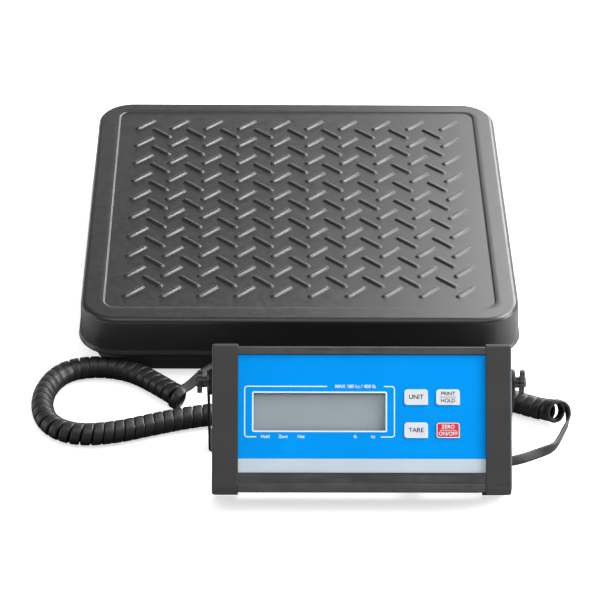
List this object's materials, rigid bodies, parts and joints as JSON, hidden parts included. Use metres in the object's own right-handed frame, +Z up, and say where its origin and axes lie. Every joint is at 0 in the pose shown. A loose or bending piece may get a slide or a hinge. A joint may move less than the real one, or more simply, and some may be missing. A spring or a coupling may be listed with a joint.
{
  "type": "platform shipping scale",
  "caption": "Low square steel weighing platform with raised treads, joined by a curly cord to a keypad display on a tilting U bracket.",
  "frame": {"origin": "middle of the footprint of the platform and the display, on the floor", "axes": "+Z up, +X to the right as the display is read, +Y from the display towards the platform"},
  "size_m": [0.3875, 0.4882, 0.1033],
  "materials": {
    "tray_paint": "satin powder coat",
    "base_paint": "satin powder coat",
    "frame_paint": "matt paint",
    "bracket_paint": "satin powder coat",
    "foot_rubber": "matt",
    "cushion_rubber": "matt",
    "washer_rubber": "matt",
    "boot_rubber": "satin",
    "zinc_screw": "zinc plated",
    "plain_steel": "ground",
    "black_screw": "black oxide",
    "cell_aluminium": "machined",
    "potting": "matt",
    "brass": "turned",
    "circuit_board": "solder mask",
    "terminal_plastic": "moulded",
    "grey_cable": "satin",
    "housing_anodised": "dark anodised, satin",
    "cap_plastic": "fine moulded texture",
    "panel_plastic": "moulded",
    "label_blue": "satin printed film",
    "strip_silver": "satin printed film",
    "window_clear": "clear",
    "lcd_grey": "polarised glass",
    "switch_plastic": "moulded",
    "key_grey": "satin printed film",
    "key_red": "satin printed film",
    "battery_wrap": "sleeve",
    "port_metal": "nickel plated",
    "jack_plastic": "moulded",
    "knob_plastic": "moulded",
    "cord_pvc": "satin vinyl"
  },
  "bodies": {
    "root": {"base_pan": "base_paint", "feet": "foot_rubber", "foot_screws": "zinc_screw", "foot_nuts": "zinc_screw", "load_cell": "cell_aluminium", "gauge_seal": "potting", "base_spacer": "plain_steel", "base_bolts": "black_screw", "overload_stops": "zinc_screw", "stop_nuts": "zinc_screw", "junction_posts": "brass", "junction_board": "circuit_board", "junction_screws": "zinc_screw", "terminal_block": "terminal_plastic", "cell_cable": "grey_cable", "platform_boot": "boot_rubber", "curly_coil": "cord_pvc", "platform_lead": "cord_pvc"},
    "weigh_frame": {"load_frame": "frame_paint", "frame_spacer": "plain_steel", "frame_bolts": "black_screw", "cushions": "cushion_rubber"},
    "tray": {"tray": "tray_paint"},
    "stand": {"bracket": "bracket_paint", "pivot_washers": "washer_rubber", "display_lead": "cord_pvc"},
    "head": {"housing": "housing_anodised", "left_cap": "cap_plastic", "right_cap": "cap_plastic", "cap_screws": "black_screw", "pivot_inserts": "brass", "front_panel": "panel_plastic", "keypad_label": "label_blue", "trim_strip": "strip_silver", "lcd_window": "window_clear", "lcd_glass": "lcd_grey", "lcd_holder": "panel_plastic", "board_posts": "brass", "main_board": "circuit_board", "board_screws": "zinc_screw", "key_switches": "switch_plastic", "battery_bay": "panel_plastic", "batteries": "battery_wrap", "battery_contacts": "plain_steel", "serial_port": "port_metal", "power_jack": "jack_plastic", "display_boot": "boot_rubber"},
    "left_knob": {"left_knob": "knob_plastic"},
    "right_knob": {"right_knob": "knob_plastic"},
    "unit_key": {"unit_key": "key_grey"},
    "hold_key": {"hold_key": "key_grey"},
    "tare_key": {"tare_key": "key_grey"},
    "zero_key": {"zero_key": "key_red"},
    "battery_door": {"battery_door": "cap_plastic"}
  },
  "joints": [
    {"name": "weighing", "type": "slide", "parent": "root", "child": "weigh_frame", "axis": [0, 0, 1], "range_m": [-0.0005, 0], "stiffness_N_per_m": 300000, "springref_m": 0.0001, "deforming": ["load_cell"]},
    {"name": "tray_lift", "type": "slide", "parent": "weigh_frame", "child": "tray", "axis": [0, 0, 1], "range_m": [0, 0.08]},
    {"name": "display_place", "type": "slide", "parent": "root", "child": "stand", "axis": [0, -1, 0], "range_m": [0, 0.15]},
    {"name": "tilt", "type": "hinge", "parent": "stand", "child": "head", "pos_m": [0.0404, -0.18247, 0.07215], "axis": [-1, 0, 0], "range_deg": [0, 52]},
    {"name": "left_knob_turn", "type": "hinge", "parent": "head", "child": "left_knob", "pos_m": [0.0404, -0.18247, 0.07215], "axis": [-1, 0, 0], "continuous": true},
    {"name": "right_knob_turn", "type": "hinge", "parent": "head", "child": "right_knob", "pos_m": [0.0404, -0.18247, 0.07215], "axis": [1, 0, 0], "continuous": true},
    {"name": "unit_key_press", "type": "slide", "parent": "head", "child": "unit_key", "axis": [0, 0.788, -0.6157], "range_m": [0, 0.0005], "stiffness_N_per_m": 3000, "springref_m": -0.0003},
    {"name": "hold_key_press", "type": "slide", "parent": "head", "child": "hold_key", "axis": [0, 0.788, -0.6157], "range_m": [0, 0.0005], "stiffness_N_per_m": 3000, "springref_m": -0.0003},
    {"name": "tare_key_press", "type": "slide", "parent": "head", "child": "tare_key", "axis": [0, 0.788, -0.6157], "range_m": [0, 0.0005], "stiffness_N_per_m": 3000, "springref_m": -0.0003},
    {"name": "zero_key_press", "type": "slide", "parent": "head", "child": "zero_key", "axis": [0, 0.788, -0.6157], "range_m": [0, 0.0005], "stiffness_N_per_m": 3000, "springref_m": -0.0003},
    {"name": "battery_door_off", "type": "slide", "parent": "head", "child": "battery_door", "axis": [0, 0.788, -0.6157], "range_m": [0, 0.018]}
  ]
}
